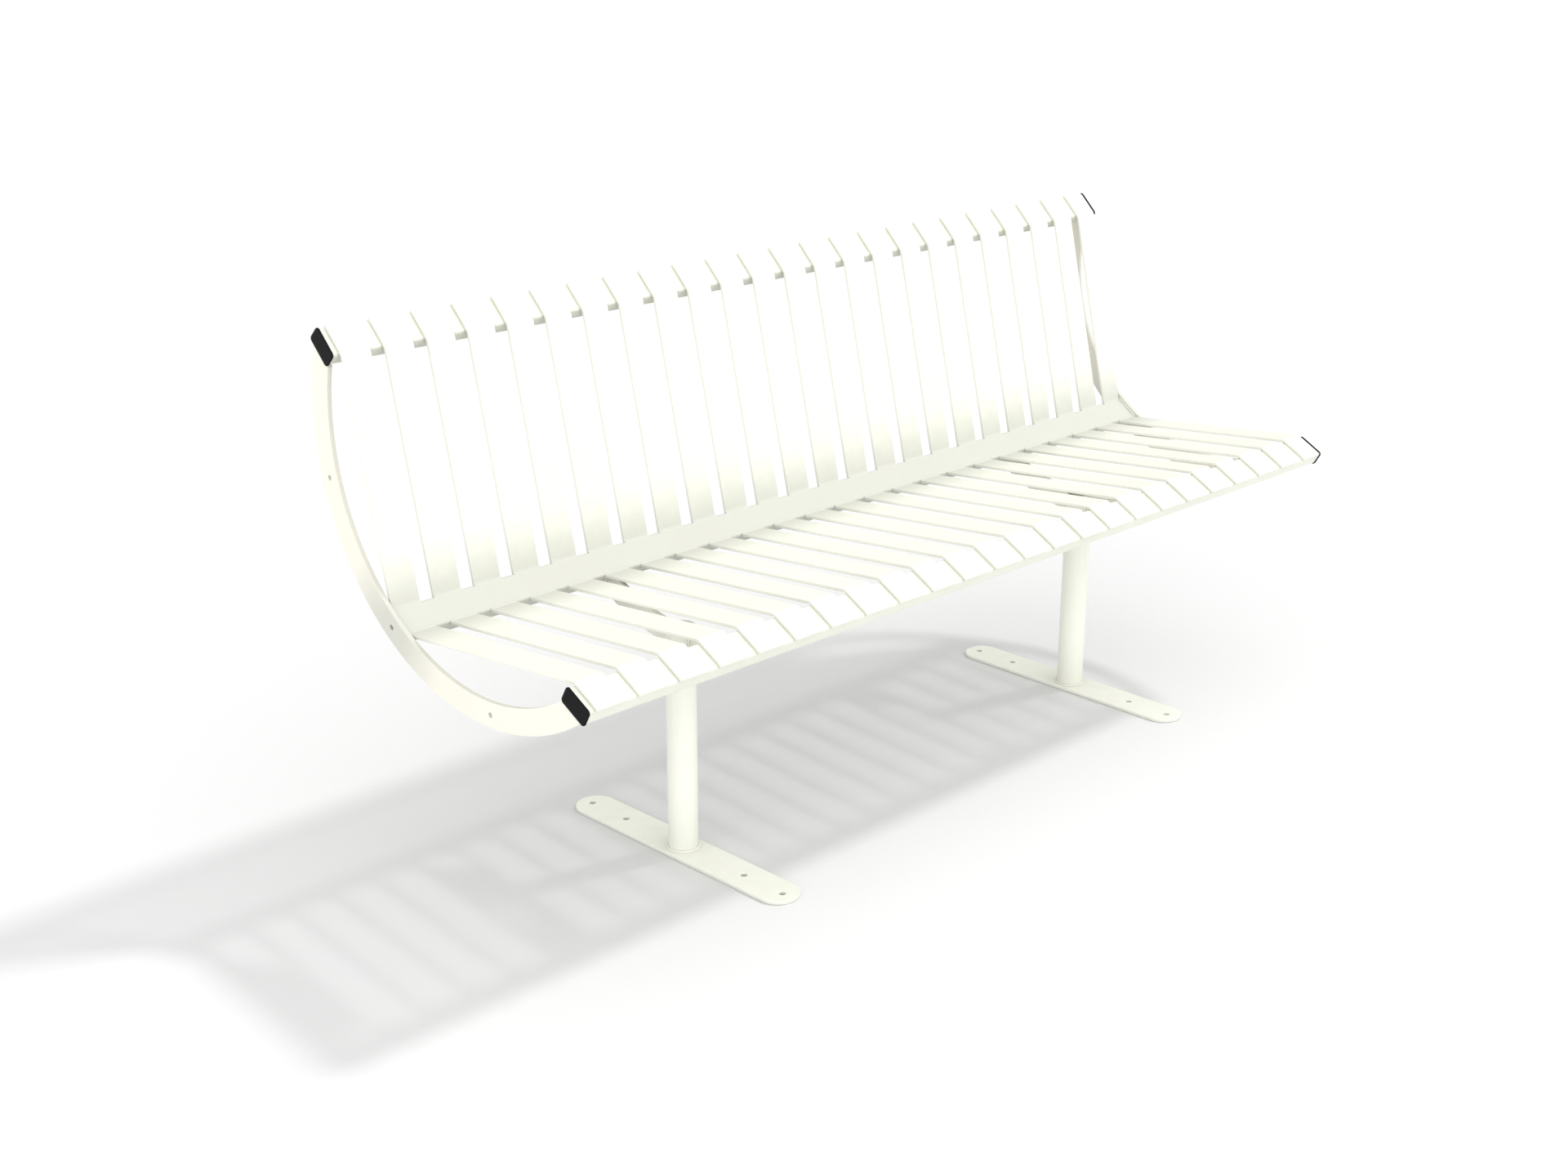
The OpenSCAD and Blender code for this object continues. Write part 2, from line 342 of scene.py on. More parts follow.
HALF_ANGLE = (SEAT_ANGLE - BACK_ANGLE) / 2
MIDDLE_ANGLE = (SEAT_ANGLE + BACK_ANGLE) / 2
COS_HALF, SIN_HALF = unit(HALF_ANGLE)
TAN_HALF = SIN_HALF / COS_HALF
VALLEY_FACE = STRIP_THICK / 2 / SIN_HALF + RAIL_WIDTH / 2 / TAN_HALF
STRIP_START = STRIP_THICK / 2 / TAN_HALF + RAIL_WIDTH / 2 / SIN_HALF
VALLEY_RAIL = (VALLEY_FACE - RAIL_DEPTH / 2) * unit(MIDDLE_ANGLE)
VALLEY_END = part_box("valley_rail")[1].x

bm = bmesh.new()
add_slab(bm, tube_loops(VALLEY_RAIL, MIDDLE_ANGLE - 90),
         soft_edges(-VALLEY_END, VALLEY_END, RAIL_SAW_EDGE, 1), side_view)
valley = even_normals(new_object(mesh_from(bm, "valley_rail_tube"), rail_coat))
hand_over(valley, "strip_coat", "valley_rail")


# --- Strips of the back and of the seat --------------------------------------
# Twenty-four 50 x 5 mm flat steel strips each, press-bent once near the end and
# welded 75 mm apart: upright ones fold back over the top rail, the seat's fold
# down over the front rail. Powder coat softens every sheared edge.

STRIP_COUNT = 24
STRIP_WIDTH = 0.050
STRIP_PITCH = 0.075
STRIP_FOLD = 0.055
STRIP_BEND_RADIUS = 0.004
STRIP_EDGE = 0.0008
BEND_STEPS = 10

strip_coat = powder_coat("strip_coat", (0.755, 0.765, 0.680, 1), (0.735, 0.742, 0.655, 1))


def strip_outline(length, turn, front):
    """Side view of a strip along +X that turns near its end; front is 1 or -1."""
    half = STRIP_THICK / 2
    side = 1 if turn > 0 else -1
    middle = STRIP_BEND_RADIUS + half
    tangent = middle * math.tan(math.radians(abs(turn) / 2))
    bevel = STRIP_THICK / TAN_HALF
    low, high = STRIP_START, STRIP_START - bevel
    if front > 0:
        low, high = high, low
    centre = Vector((length - tangent, side * middle))
    fold_start = Vector((length, 0)) + tangent * unit(turn)
    fold_end = Vector((length, 0)) + STRIP_FOLD * unit(turn)
    across = unit(turn + 90)
    left = arc(centre, middle - side * half, -90 * side, -90 * side + turn, BEND_STEPS)
    right = arc(centre, middle + side * half, -90 * side, -90 * side + turn, BEND_STEPS)
    tip = [fold_end + (half - STRIP_EDGE) * s * across - STRIP_EDGE * unit(turn) for s in (-1, 1)]
    rim = (arc(tip[0], STRIP_EDGE, turn - 90, turn, 3)
           + arc(tip[1], STRIP_EDGE, turn, turn + 90, 3))
    return ([Vector((low, -half))] + right + rim + left[::-1] + [Vector((high, half))])


def row_tree():
    """Repeats a mesh along X; every copy gets its own slight tone."""
    tree = bpy.data.node_groups.new("row_of_strips", "GeometryNodeTree")
    for label, kind, value in (("Strip", "NodeSocketGeometry", None),
                               ("Count", "NodeSocketInt", STRIP_COUNT),
                               ("Pitch", "NodeSocketFloat", STRIP_PITCH),
                               ("Seed", "NodeSocketInt", 0),
                               ("Coat", "NodeSocketMaterial", None)):
        made = tree.interface.new_socket(label, in_out="INPUT", socket_type=kind)
        if value is not None:
            made.default_value = value
    tree.interface.new_socket("Row", in_out="OUTPUT", socket_type="NodeSocketGeometry")
    source = tree.nodes.new("NodeGroupInput")
    given = {s.name: Signal(tree, s) for s in source.outputs if s.name}
    offset = node(tree, "ShaderNodeCombineXYZ", None, {"X": given["Pitch"]})
    first = (given["Count"] - 1) * given["Pitch"] * -0.5
    start = node(tree, "ShaderNodeCombineXYZ", None, {"X": first})
    line = node(tree, "GeometryNodeMeshLine", {"mode": "OFFSET"},
                {"Count": given["Count"], "Start Location": start, "Offset": offset})
    copies = node(tree, "GeometryNodeInstanceOnPoints", None,
                  {"Points": line, "Instance": given["Strip"]})
    chance = node(tree, "FunctionNodeRandomValue", {"data_type": "FLOAT"},
                  {"Seed": given["Seed"]}, 1)
    toned = node(tree, "GeometryNodeStoreNamedAttribute",
                 {"data_type": "FLOAT", "domain": "INSTANCE"},
                 {"Geometry": copies, "Name": "tone", "Value": chance})
    real = node(tree, "GeometryNodeRealizeInstances", None, {0: toned})
    coated = node(tree, "GeometryNodeSetMaterial", None,
                  {"Geometry": real, "Material": given["Coat"]})
    tree.links.new(coated.socket, tree.nodes.new("NodeGroupOutput").inputs["Row"])
    return tree


def run_tree(thing, tree, **given):
    """Runs a node tree on an object and keeps the plain result."""
    modifier = thing.modifiers.new(tree.name, "NODES")
    modifier.node_group = tree
    sockets = {s.name: s.identifier for s in tree.interface.items_tree
               if s.item_type == "SOCKET" and s.in_out == "INPUT"}
    for label, value in given.items():
        modifier[sockets[label]] = value
    return settle(thing)


strip_row = row_tree()
STRIP_RINGS = soft_edges(-STRIP_WIDTH / 2, STRIP_WIDTH / 2, STRIP_EDGE)
for part, angle, length, fold_angle, front, seed in (
        ("back", BACK_ANGLE, BACK_LENGTH, TOP_FOLD_ANGLE, 1, 3),
        ("seat", SEAT_ANGLE, SEAT_LENGTH, FRONT_FOLD_ANGLE, -1, 8)):
    outline = on_rail(strip_outline(length, fold_angle - angle, front), Vector((0, 0)), angle)
    bm = bmesh.new()
    add_slab(bm, [outline], STRIP_RINGS, side_view)
    strips = new_object(mesh_from(bm, part + "_strips"))
    run_tree(strips, strip_row, Count=STRIP_COUNT, Pitch=STRIP_PITCH, Seed=seed, Coat=strip_coat)
    even_normals(strips)
    hand_over(strips, "strip_coat", *[f"{part}_slat_{k:02d}" for k in range(1, STRIP_COUNT + 1)])


# --- End bars and inner bars -------------------------------------------------
# Four bars cut from 8 mm plate, 40 mm deep and curved to one radius. The end
# bars close the rails' ends and have three small holes. The inner bars run only
# under the seat, notched for the valley rail, and carry the load to the posts.

ARC_RADIUS = 0.383
ARC_DEPTH = 0.040
ARC_THICK = 0.008
ARC_CENTRE = 0.3735 * unit(MIDDLE_ANGLE)
BAR_EDGE = 0.0008
HOLE_RADIUS = 0.004
HOLE_START = -15.0
HOLE_STEP = -39.0
BAR_STATION = 1.25
LEG_X = 0.500

bar_coat = powder_coat("bar_coat", (0.775, 0.757, 0.672, 1), (0.755, 0.735, 0.645, 1))


def meets_circle(point, along, radius, near):
    """Where a line crosses a circle about the bars' centre, close to near."""
    from_centre = point - ARC_CENTRE
    b = from_centre.dot(along)
    root = math.sqrt(b * b - from_centre.length_squared + radius * radius)
    found = [point + (root - b) * along, point + (-root - b) * along]
    return min(found, key=lambda p: (p - near).length)


def angle_of(p):
    d = p - ARC_CENTRE
    return math.degrees(math.atan2(d.y, d.x))


def bar_arc(start, end, radius):
    """Points between two points on one of the bar's circles."""
    a, b = angle_of(start), angle_of(end)
    if a > 90:
        a -= 360
    if b > 90:
        b -= 360
    return arc(ARC_CENTRE, radius, a, b, max(2, round(abs(b - a) / BAR_STATION)))


# The bars stop on the rear faces of the top and front rails.
TOP_REAR = TOP_RAIL - RAIL_DEPTH / 2 * unit(TOP_FOLD_ANGLE + 90)
FRONT_REAR = FRONT_RAIL + RAIL_DEPTH / 2 * unit(FRONT_FOLD_ANGLE + 90)
ARC_INSIDE = ARC_RADIUS - ARC_DEPTH
bar_ends = {
    "top": [meets_circle(TOP_REAR, unit(TOP_FOLD_ANGLE), r, TOP_REAR)
            for r in (ARC_RADIUS, ARC_INSIDE)],
    "front": [meets_circle(FRONT_REAR, unit(FRONT_FOLD_ANGLE), r, FRONT_REAR)
              for r in (ARC_RADIUS, ARC_INSIDE)]}
outer_arc = bar_arc(bar_ends["front"][0], bar_ends["top"][0], ARC_RADIUS)
whole_bar = outer_arc + bar_arc(bar_ends["top"][1], bar_ends["front"][1], ARC_INSIDE)
holes = [arc(ARC_CENTRE + (ARC_RADIUS - ARC_DEPTH / 2) * unit(HOLE_START + k * HOLE_STEP),
             HOLE_RADIUS, 360, 0, 28)[:-1] for k in range(3)]

# The inner bars stop at the valley rail's back edge, and lie under the seat.
BEHIND_BACK = -STRIP_THICK / 2 * unit(BACK_ANGLE + 90)
BEHIND_SEAT = STRIP_THICK / 2 * unit(SEAT_ANGLE + 90)
seat_touch = meets_circle(BEHIND_SEAT, unit(SEAT_ANGLE), ARC_INSIDE, Vector((0, 0)))
VALLEY_REAR = VALLEY_FACE - RAIL_DEPTH
notch_top = ((RAIL_WIDTH / 2 - STRIP_THICK / 2 * COS_HALF) / SIN_HALF * COS_HALF
             - STRIP_THICK / 2 * SIN_HALF)
notch = on_rail([(RAIL_WIDTH / 2, VALLEY_REAR), (-RAIL_WIDTH / 2, VALLEY_REAR),
                 (-RAIL_WIDTH / 2, notch_top)], Vector((0, 0)), MIDDLE_ANGLE - 90)
rear_edge = RAIL_WIDTH / 2 * unit(MIDDLE_ANGLE - 90)
rear_foot = meets_circle(rear_edge, unit(MIDDLE_ANGLE), ARC_RADIUS, rear_edge)
cut_bar = (bar_arc(bar_ends["front"][0], rear_foot, ARC_RADIUS) + notch
           + bar_arc(seat_touch, bar_ends["front"][1], ARC_INSIDE))

END_BAR_X = (abs(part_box("end_bar_left")[0].x) + abs(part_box("end_bar_left")[1].x)) / 2
for name, x, loops in (("end_bar_left", -END_BAR_X, [whole_bar] + holes),
                       ("end_bar_right", END_BAR_X, [whole_bar] + holes),
                       ("inner_bar_left", -LEG_X, [cut_bar]),
                       ("inner_bar_right", LEG_X, [cut_bar])):
    bm = bmesh.new()
    add_slab(bm, loops, soft_edges(x - ARC_THICK / 2, x + ARC_THICK / 2, BAR_EDGE), side_view)
    bar = even_normals(new_object(mesh_from(bm, name + "_plate"), bar_coat))
    hand_over(bar, "bar_coat", name)


# --- Posts -------------------------------------------------------------------
# Two lengths of 48.3 mm steel pipe with 3.2 mm walls. The top of each is slotted
# so that the inner bar drops its full depth into it; the foot closes the bottom.

POST_RADIUS = 0.02415
POST_WALL = 0.0032
FOOT_THICK = 0.006
POST_Y = VALLEY_Y - LEG_FORWARD
POST_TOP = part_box("post_left")[1].z
SLOT_PLAY = 0.0001

# The legs' coat is the same cream made lighter: painted light that makes up for the shade under
# the seat.
leg_coat = powder_coat("leg_coat", (0.800, 0.811, 0.730, 1), (0.778, 0.788, 0.702, 1))


def standing(p, z):
    return Vector((p[0], p[1], z))


for side, x in (("left", -LEG_X), ("right", LEG_X)):
    bm = bmesh.new()
    pipe = [arc((x, POST_Y), POST_RADIUS, 0, 360, 96)[:-1],
            arc((x, POST_Y), POST_RADIUS - POST_WALL, 360, 0, 96)[:-1]]
    add_slab(bm, pipe, soft_edges(FOOT_THICK, POST_TOP, 0.0005, 2), standing)
    post = new_object(mesh_from(bm, f"post_{side}_pipe"), leg_coat)
    bm = bmesh.new()
    bed = arc(ARC_CENTRE, ARC_RADIUS, -102, -78, 24) + [ARC_CENTRE + 0.3 * unit(-78),
                                                       ARC_CENTRE + 0.3 * unit(-102)]
    add_slab(bm, [bed], [(x - ARC_THICK / 2 - SLOT_PLAY, 0), (x + ARC_THICK / 2 + SLOT_PLAY, 0)],
             side_view)
    cutter = new_object(mesh_from(bm, "slot_cutter"))
    slot = post.modifiers.new("slot", "BOOLEAN")
    slot.object, slot.operation, slot.solver = cutter, "DIFFERENCE", "EXACT"
    settle(post)
    bpy.data.objects.remove(cutter)
    even_normals(post)
    hand_over(post, "leg_coat", f"post_{side}")


# --- Feet --------------------------------------------------------------------
# Each foot is a 500 x 70 x 6 mm plate with round ends, laid across the bench,
# with four 11 mm holes in line for ground anchors.

FOOT_LENGTH = 0.500
FOOT_WIDTH = 0.070
FOOT_EDGE = 0.0012
ANCHOR_RADIUS = 0.0055
ANCHOR_OFFSETS = (0.225, 0.140, -0.140, -0.225)

for side, x in (("left", -LEG_X), ("right", LEG_X)):
    reach = (FOOT_LENGTH - FOOT_WIDTH) / 2
    plate = (arc((x, POST_Y + reach), FOOT_WIDTH / 2, 0, 180, 40)
             + arc((x, POST_Y - reach), FOOT_WIDTH / 2, 180, 360, 40))
    anchors = [arc((x, POST_Y + d), ANCHOR_RADIUS, 360, 0, 32)[:-1] for d in ANCHOR_OFFSETS]
    bm = bmesh.new()
    add_slab(bm, [plate] + anchors, soft_edges(0, FOOT_THICK, FOOT_EDGE), standing)
    foot = even_normals(new_object(mesh_from(bm, f"foot_{side}_plate"), leg_coat))
    hand_over(foot, "leg_coat", f"foot_{side}")


# --- End caps ----------------------------------------------------------------
# Four black moulded caps pushed into the open ends of the top and front rails.
# Each has a softly crowned plate and a hollow plug with two gripping fins.

CAP_PLATE = 0.003
CAP_OVERHANG = 0.002
CAP_PLUG = 0.015
CAP_WALL = 0.002
CAP_PLAY = 0.0002
FIN_SIZE = 0.00015


def moulded_plastic(name):
    """Black polyethylene with a fine spark-eroded grain and faint flow marks."""
    material = bpy.data.materials.new(name)
    material.use_nodes = True
    tree = material.node_tree
    shader = tree.nodes["Principled BSDF"]
    where = node(tree, "ShaderNodeTexCoord", output="Object")
    grain = node(tree, "ShaderNodeTexNoise", None,
                 {"Vector": where, "Scale": 2600.0, "Detail": 2.0})
    flow = node(tree, "ShaderNodeTexNoise", None, {"Vector": where, "Scale": 60.0, "Detail": 3.0})
    rim = node(tree, "ShaderNodeAttribute", {"attribute_name": "rim"}, output="Fac")
    polished = ramp(tree, rim, 0.5, 1.0)
    colour = blend(tree, flow, (0.0025, 0.0025, 0.003, 1), (0.006, 0.006, 0.0065, 1))
    tree.links.new(colour.socket, shader.inputs["Base Color"])
    tree.links.new((0.52 + (flow - 0.5) * 0.12 - polished * 0.10).socket,
                   shader.inputs["Roughness"])
    shader.inputs["Specular IOR Level"].default_value = 0.10
    bump = node(tree, "ShaderNodeBump", None,
                {"Height": grain + flow * 0.5, "Strength": 0.4, "Distance": 0.00008})
    tree.links.new(bump.socket, shader.inputs["Normal"])
    return material


cap_plastic = moulded_plastic("cap_plastic")
plug_width = RAIL_WIDTH - 2 * RAIL_WALL - 2 * CAP_PLAY
plug_depth = RAIL_DEPTH - 2 * RAIL_WALL - 2 * CAP_PLAY
bm = bmesh.new()
for side in (-1, 1):
    for centre, angle in ((TOP_RAIL, TOP_FOLD_ANGLE), (FRONT_RAIL, FRONT_FOLD_ANGLE)):
        outline = rounded_box(RAIL_WIDTH + 2 * CAP_OVERHANG, RAIL_DEPTH + 2 * CAP_OVERHANG,
                              RAIL_CORNER + CAP_OVERHANG, 10)
        crown = [(0, 0.0002), (0.0002, 0), (0.0016, 0), (0.0022, 0.00012), (0.0026, 0.0005),
                 (0.0028, 0.0011), (0.0029, 0.0022), (0.00296, 0.0042), (CAP_PLATE, 0.0055)]
        rings = [(side * (RAIL_END + h), i) for h, i in crown]
        add_slab(bm, [on_rail(outline, centre, angle)], rings, side_view)
        plug = [on_rail(rounded_box(plug_width, plug_depth, RAIL_CORNER - RAIL_WALL / 2), centre,
                        angle),
                on_rail(rounded_box(plug_width - 2 * CAP_WALL, plug_depth - 2 * CAP_WALL, 0.001),
                        centre, angle)[::-1]]
        fins = [(0.0, 0.0), (0.004, 0), (0.0045, -FIN_SIZE), (0.005, 0), (0.009, 0),
                (0.0095, -FIN_SIZE), (0.010, 0), (0.014, 0), (CAP_PLUG, 0.0005)]
        add_slab(bm, plug, [(side * (RAIL_END - h), i) for h, i in fins], side_view)
caps = even_normals(new_object(mesh_from(bm, "rail_end_caps_moulded"), cap_plastic))
hand_over(caps, "cap_plastic", "rail_end_caps")


# --- Welds -------------------------------------------------------------------
# Every joint is MIG-welded before coating: small rippled fillets behind the
# strips, around the bars' ends and at both ends of the posts. The joints on the
# sitter's side of the valley are filled and ground flush.

BEAD_RADIUS = 0.0026
RIPPLE_PITCH = 0.0028

weld_coat = powder_coat("weld_coat", (0.745, 0.752, 0.665, 1), (0.722, 0.728, 0.640, 1), 1.6)


def bead_tree():
    """Sweeps a rippled weld bead along every edge path of the mesh."""
    tree = bpy.data.node_groups.new("weld_bead", "GeometryNodeTree")
    for label, kind in (("Paths", "NodeSocketGeometry"), ("Radius", "NodeSocketFloat"),
                        ("Pitch", "NodeSocketFloat"), ("Seed", "NodeSocketFloat"),
                        ("Coat", "NodeSocketMaterial")):
        tree.interface.new_socket(label, in_out="INPUT", socket_type=kind)
    tree.interface.new_socket("Beads", in_out="OUTPUT", socket_type="NodeSocketGeometry")
    source = tree.nodes.new("NodeGroupInput")
    given = {s.name: Signal(tree, s) for s in source.outputs if s.name}
    curve = node(tree, "GeometryNodeMeshToCurve", None, {0: given["Paths"]})
    spaced = node(tree, "GeometryNodeResampleCurve", {"mode": "LENGTH"},
                  {"Curve": curve, "Length": given["Pitch"] * 0.25})
    along = node(tree, "GeometryNodeSplineParameter", output="Length")
    factor = node(tree, "GeometryNodeSplineParameter", output="Factor")
    wave = node(tree, "ShaderNodeMath", {"operation": "SINE"},
                {0: along.math("DIVIDE", along, given["Pitch"]) * (2 * math.pi)})
    hand = node(tree, "ShaderNodeTexNoise", {"noise_dimensions": "4D"},
                {"Vector": node(tree, "GeometryNodeInputPosition"), "W": given["Seed"],
                 "Scale": 140.0})
    start = ramp(tree, factor, 0.0, 0.06)
    end = 1 - ramp(tree, factor, 0.94, 1.0)
    width = (1 + wave * 0.09 + (hand - 0.5) * 0.45) * (0.35 + start * end * 0.65)
    sized = node(tree, "GeometryNodeSetCurveRadius", None,
                 {"Curve": spaced, "Radius": width * given["Radius"]})
    section = node(tree, "GeometryNodeCurvePrimitiveCircle", None,
                   {"Resolution": 10, "Radius": 1.0})
    swept = node(tree, "GeometryNodeCurveToMesh", None,
                 {"Curve": sized, "Profile Curve": section, "Fill Caps": True})
    swept_node = swept.socket.node
    if "Scale" in swept_node.inputs:
        tree.links.new(node(tree, "GeometryNodeInputRadius").socket, swept_node.inputs["Scale"])
    smooth = node(tree, "GeometryNodeSetShadeSmooth", None, {0: swept})
    real = node(tree, "GeometryNodeRealizeInstances", None, {0: smooth})
    coated = node(tree, "GeometryNodeSetMaterial", None,
                  {"Geometry": real, "Material": given["Coat"]})
    tree.links.new(coated.socket, tree.nodes.new("NodeGroupOutput").inputs["Beads"])
    return tree


bead = bead_tree()


def weld(name, paths, radius, seed, finish, coat):
    """One object holding the beads along these lists of points."""
    points, edges = [], []
    for path, closed in paths:
        first = len(points)
        points += path
        edges += [(first + k, first + k + 1) for k in range(len(path) - 1)]
        if closed:
            edges.append((first + len(path) - 1, first))
    mesh = bpy.data.meshes.new(name)
    mesh.from_pydata(points, edges, [])
    beads = run_tree(new_object(mesh), bead, Radius=radius, Pitch=RIPPLE_PITCH, Seed=seed,
                     Coat=coat)
    bm = bmesh.new()
    bm.from_mesh(beads.data)
    bmesh.ops.remove_doubles(bm, verts=bm.verts, dist=1e-6)
    bmesh.ops.recalc_face_normals(bm, faces=bm.faces)
    bm.to_mesh(beads.data)
    bm.free()
    hand_over(beads, finish)
    return beads


def corner(p1, d1, n1, p2, d2, n2, lift):
    """The point lifted off two lines that meet, towards the open side of each."""
    a, b = p1 + lift * n1, p2 + lift * n2
    cross = d1.x * d2.y - d1.y * d2.x
    t = ((b - a).x * d2.y - (b - a).y * d2.x) / cross
    return a + t * d1


# Behind every strip: in its fold under the rail, and against the valley rail.
REAR_LIFT = 0.0010
strip_centres = [(k - (STRIP_COUNT - 1) / 2) * STRIP_PITCH for k in range(STRIP_COUNT)]
back_down = -unit(BACK_ANGLE + 90)
seat_down = unit(SEAT_ANGLE + 90)
top_nook = corner(BEHIND_BACK, unit(BACK_ANGLE), back_down,
                  TOP_RAIL - RAIL_WIDTH / 2 * unit(TOP_FOLD_ANGLE), unit(TOP_FOLD_ANGLE + 90),
                  -unit(TOP_FOLD_ANGLE), 0.0026)
front_nook = corner(BEHIND_SEAT, unit(SEAT_ANGLE), seat_down,
                    FRONT_RAIL - RAIL_WIDTH / 2 * unit(FRONT_FOLD_ANGLE),
                    unit(FRONT_FOLD_ANGLE + 90), -unit(FRONT_FOLD_ANGLE), 0.0026)
valley_side = unit(MIDDLE_ANGLE - 90)
back_nook = corner(BEHIND_BACK, unit(BACK_ANGLE), back_down, RAIL_WIDTH / 2 * valley_side,
                   unit(MIDDLE_ANGLE), valley_side, REAR_LIFT)
seat_nook = corner(BEHIND_SEAT, unit(SEAT_ANGLE), seat_down, -RAIL_WIDTH / 2 * valley_side,
                   unit(MIDDLE_ANGLE), -valley_side, REAR_LIFT)
for name, nook, half_length, seed in (("welds_back_top", top_nook, 0.019, 1.0),
                                      ("welds_seat_front", front_nook, 0.019, 2.0),
                                      ("welds_back_valley", back_nook, 0.0235, 3.0),
                                      ("welds_seat_valley", seat_nook, 0.0235, 4.0)):
    rows = [([side_view(nook, x - half_length), side_view(nook, x + half_length)], False)
            for x in strip_centres]
    weld(name, rows, BEAD_RADIUS, seed, "strip_coat", weld_coat)

# Around the bars: on the top and front rails, in the valley notch, and around
# the valley rail's ends where they meet the end bars.
SEAM_LIFT = 0.0008
SEAM_HALF_LENGTH = 0.0205
bar_paths = []
half = ARC_THICK / 2 + SEAM_LIFT


def bar_seam(place):
    """The two ends of a bar's weld on the rear face of the top or front rail."""
    outer, inner = bar_ends[place]
    across = (inner - outer).normalized()
    centre = TOP_REAR if place == "top" else FRONT_REAR
    off = -unit(TOP_FOLD_ANGLE + 90) if place == "top" else unit(FRONT_FOLD_ANGLE + 90)
    return [centre + max(-SEAM_HALF_LENGTH, min(SEAM_HALF_LENGTH, (p - centre).dot(across)))
            * across + SEAM_LIFT * off for p in (outer, inner)]


for x in (-LEG_X, LEG_X):
    ends = bar_seam("front")
    bar_paths.append(([side_view(ends[0], x - half), side_view(ends[1], x - half),
                       side_view(ends[1], x + half), side_view(ends[0], x + half)], True))
    for s in (-1, 1):
        bar_paths.append(([side_view(p, x + s * half) for p in notch], False))
for s in (-1, 1):
    inside = s * (END_BAR_X - ARC_THICK / 2 - SEAM_LIFT)
    ring = on_rail(rounded_box(RAIL_WIDTH + 2 * SEAM_LIFT, RAIL_DEPTH + 2 * SEAM_LIFT,
                               RAIL_CORNER, 4), VALLEY_RAIL, MIDDLE_ANGLE - 90)
    bar_paths.append(([side_view(p, inside) for p in ring], True))
    for place in ("top", "front"):
        bar_paths.append(([side_view(e, inside) for e in bar_seam(place)], False))
weld("welds_bars", bar_paths, BEAD_RADIUS, 5.0, "bar_coat", weld_coat)

# At the posts: a ring on each foot plate, and around the slot at the top.
post_paths = []
for x in (-LEG_X, LEG_X):
    ring = arc((x, POST_Y), POST_RADIUS + 0.0010, 0, 360, 72)[:-1]
    post_paths.append(([standing(p, FOOT_THICK + 0.0010) for p in ring], True))
    for s in (-1, 1):
        y = POST_Y + s * math.sqrt(POST_RADIUS ** 2 - (ARC_THICK / 2) ** 2)
        dy = y - VALLEY_Y - ARC_CENTRE.x
        bed_z = VALLEY_Z + ARC_CENTRE.y - math.sqrt(ARC_RADIUS ** 2 - dy * dy)
        y += s * 0.0006
        post_paths.append(([Vector((x - half, y, POST_TOP - 0.0005)),
                            Vector((x - half, y, bed_z - 0.0008)),
                            Vector((x + half, y, bed_z - 0.0008)),
                            Vector((x + half, y, POST_TOP - 0.0005))], False))
weld("welds_posts", post_paths, 0.0024, 6.0, "leg_coat", weld_coat)

# The ground-flush joints along both long edges of the valley rail's face.
FLUSH_PROUD = 0.00012
for part, angle, side, seed in (("back", BACK_ANGLE, 1, 5), ("seat", SEAT_ANGLE, -1, 6)):
    along = unit(angle)
    up = unit(angle + 90) * side
    strip_end = STRIP_START * along + STRIP_THICK / 2 * up
    rail_face = unit(MIDDLE_ANGLE - 90) * side
    v = unit(MIDDLE_ANGLE)
    proud = FLUSH_PROUD
    section = [strip_end + 0.003 * along + proud * 0.2 * up - 0.0006 * up,
               strip_end + 0.003 * along + proud * 0.2 * up,
               strip_end + 0.0012 * along + proud * up,
               strip_end + proud * (up + v) * 0.6,
               strip_end - 0.0035 * rail_face + proud * v,
               strip_end - 0.0052 * rail_face + proud * 0.2 * v,
               strip_end - 0.0052 * rail_face - 0.0006 * v,
               strip_end - 0.0030 * rail_face - 0.0030 * v,
               strip_end - 0.0002 * rail_face - 0.0040 * v]
    if side < 0:
        section = section[::-1]
    area = sum(a.x * b.y - a.y * b.x for a, b in zip(section, section[1:] + section[:1]))
    if area < 0:
        section = section[::-1]
    bm = bmesh.new()
    add_slab(bm, [section], soft_edges(-STRIP_WIDTH / 2 + 0.0006, STRIP_WIDTH / 2 - 0.0006,
                                       0.0002, 1), side_view)
    flush = new_object(mesh_from(bm, f"welds_{part}_flush"))
    run_tree(flush, strip_row, Count=STRIP_COUNT, Pitch=STRIP_PITCH, Seed=seed, Coat=strip_coat)
    even_normals(flush)
    hand_over(flush, "strip_coat")


# --- Floor, light and camera -------------------------------------------------
# A plain pale studio floor under a white sky. The sky lights the bench less from
# behind but looks white all round. The soft sun lights only the floor, where it
# casts the bench's shadow, and a broad lamp fills from the left front.

FLOOR_HALF = 40.0


def pale_floor():
    """Matt white paint with the faintest unevenness."""
    material = bpy.data.materials.new("studio_floor")
    material.use_nodes = True
    tree = material.node_tree
    shader = tree.nodes["Principled BSDF"]
    where = node(tree, "ShaderNodeTexCoord", output="Object")
    cloud = node(tree, "ShaderNodeTexNoise", None, {"Vector": where, "Scale": 0.8, "Detail": 3.0})
    tree.links.new(blend(tree, cloud, (0.575, 0.575, 0.575, 1), (0.585, 0.585, 0.585, 1)).socket,
                   shader.inputs["Base Color"])
    shader.inputs["Roughness"].default_value = 0.9
    shader.inputs["Specular IOR Level"].default_value = 0.1
    return material


bm = bmesh.new()
bm.faces.new([bm.verts.new((sx * FLOOR_HALF, sy * FLOOR_HALF, 0))
              for sx, sy in ((-1, -1), (1, -1), (1, 1), (-1, 1))])
floor_mesh = bpy.data.meshes.new("studio_floor")
bm.to_mesh(floor_mesh)
bm.free()
studio_floor = new_object(floor_mesh, pale_floor())

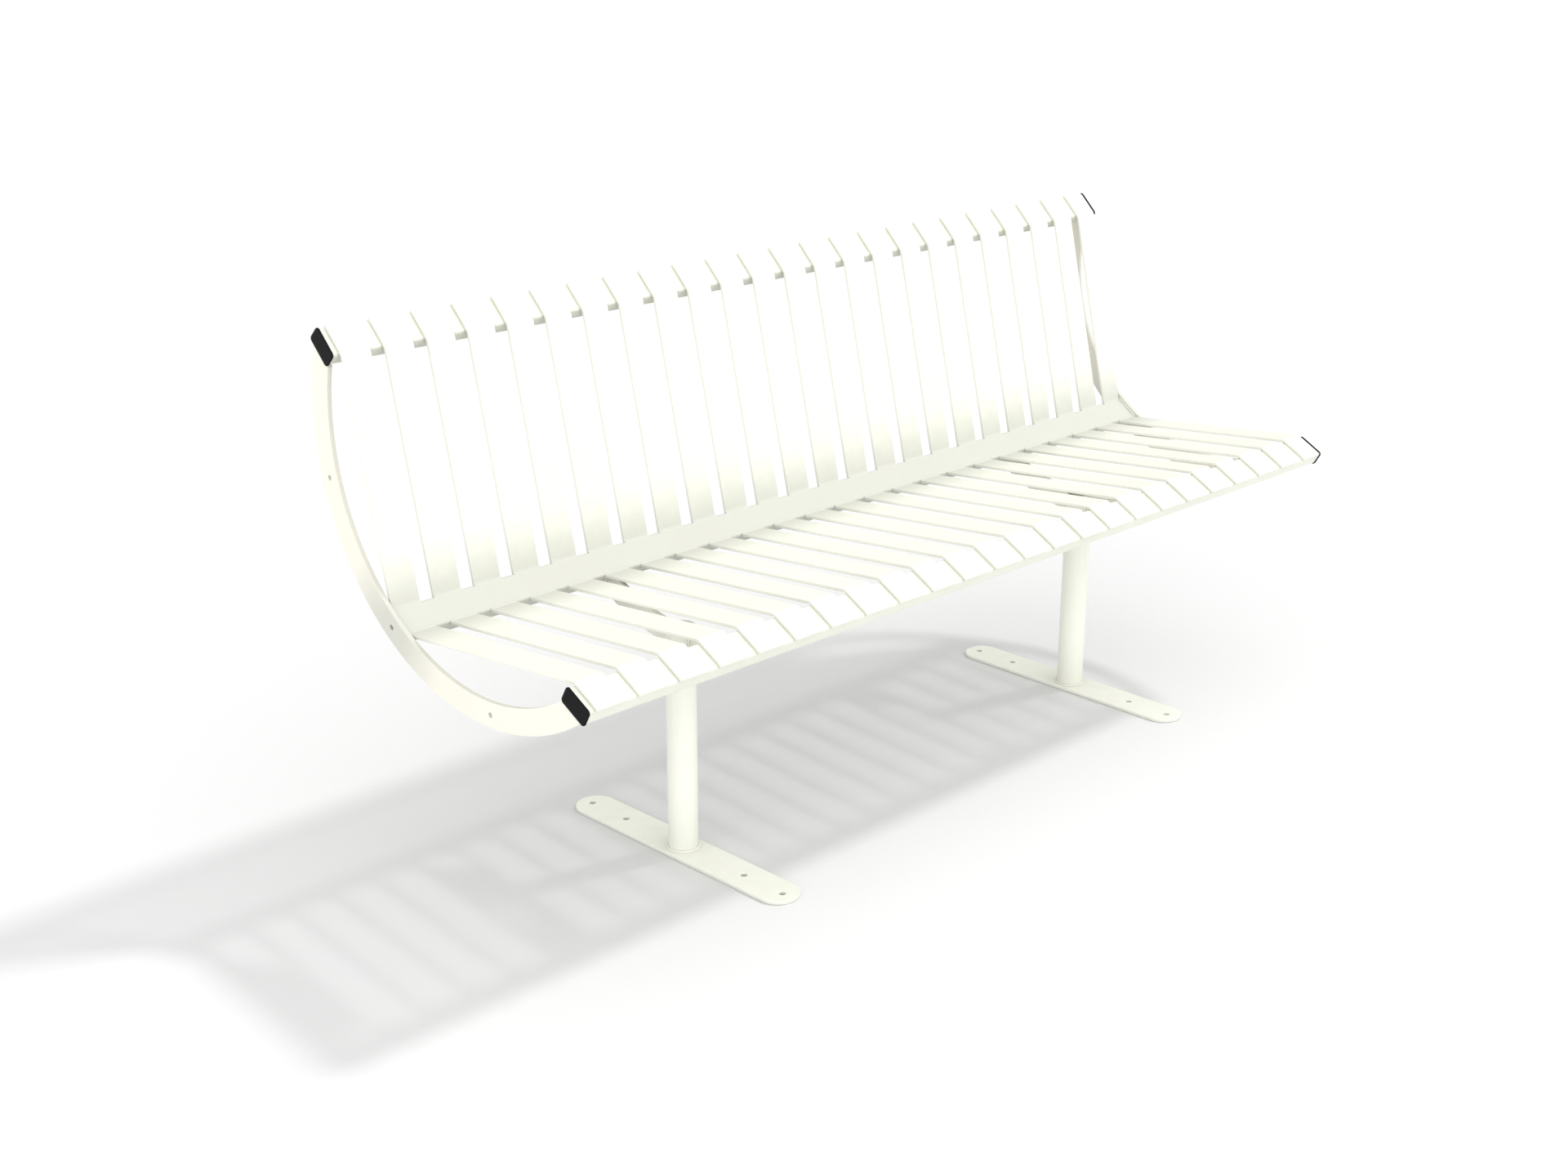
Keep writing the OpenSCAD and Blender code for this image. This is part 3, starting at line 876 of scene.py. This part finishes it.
SKY_STRENGTH = 1.66
SKY_DIM_BEHIND = 0.55
SUN_STRENGTH = 1.45
SUN_ANGLE = 5.5
SUN_TRAVEL = Vector((-0.82, 0.21, -1.0))
FILL_STRENGTH = 0.60
FILL_ANGLE = 60.0
FILL_TRAVEL = Vector((0.85, 0.45, -0.35))

world = bpy.data.worlds.new("studio_sky")
world.use_nodes = True
sky = world.node_tree
behind = node(sky, "ShaderNodeSeparateXYZ", None,
              {0: node(sky, "ShaderNodeTexCoord", output="Generated")}, "Y")
seen = node(sky, "ShaderNodeLightPath", output="Is Camera Ray")
dim = ramp(sky, behind, 0.0, 0.6) * (1 - seen) * SKY_DIM_BEHIND
sky.nodes["Background"].inputs["Color"].default_value = (1, 1, 1, 1)
sky.links.new(((1 - dim) * SKY_STRENGTH).socket, sky.nodes["Background"].inputs["Strength"])
bpy.context.scene.world = world

for name, strength, width, travel in (("soft_sun", SUN_STRENGTH, SUN_ANGLE, SUN_TRAVEL),
                                      ("side_fill", FILL_STRENGTH, FILL_ANGLE, FILL_TRAVEL)):
    lamp = bpy.data.lights.new(name, "SUN")
    lamp.energy = strength
    lamp.angle = math.radians(width)
    sun = bpy.data.objects.new(name, lamp)
    sun.rotation_euler = travel.to_track_quat("-Z", "Y").to_euler()
    bpy.context.scene.collection.objects.link(sun)
    if name == "soft_sun":
        sun.light_linking.receiver_collection = bpy.data.collections.new("sunlit_floor")
        sun.light_linking.receiver_collection.objects.link(studio_floor)

CAMERA_PLACE = (-2.5114, -2.2914, 1.5158)
CAMERA_TURN = (70.408, 0.213, -44.909)
lens = bpy.data.cameras.new("camera")
lens.lens = 47.89
lens.sensor_width = 36.0
camera = bpy.data.objects.new("camera", lens)
tilt, roll, pan = (math.radians(a) for a in CAMERA_TURN)
camera.matrix_world = (Matrix.Translation(CAMERA_PLACE) @ Matrix.Rotation(pan, 4, "Z")
                       @ Matrix.Rotation(tilt, 4, "X") @ Matrix.Rotation(roll, 4, "Z"))
bpy.context.scene.collection.objects.link(camera)
bpy.context.scene.camera = camera
bpy.context.scene.view_settings.view_transform = "Standard"
bpy.context.scene.view_settings.look = "None"
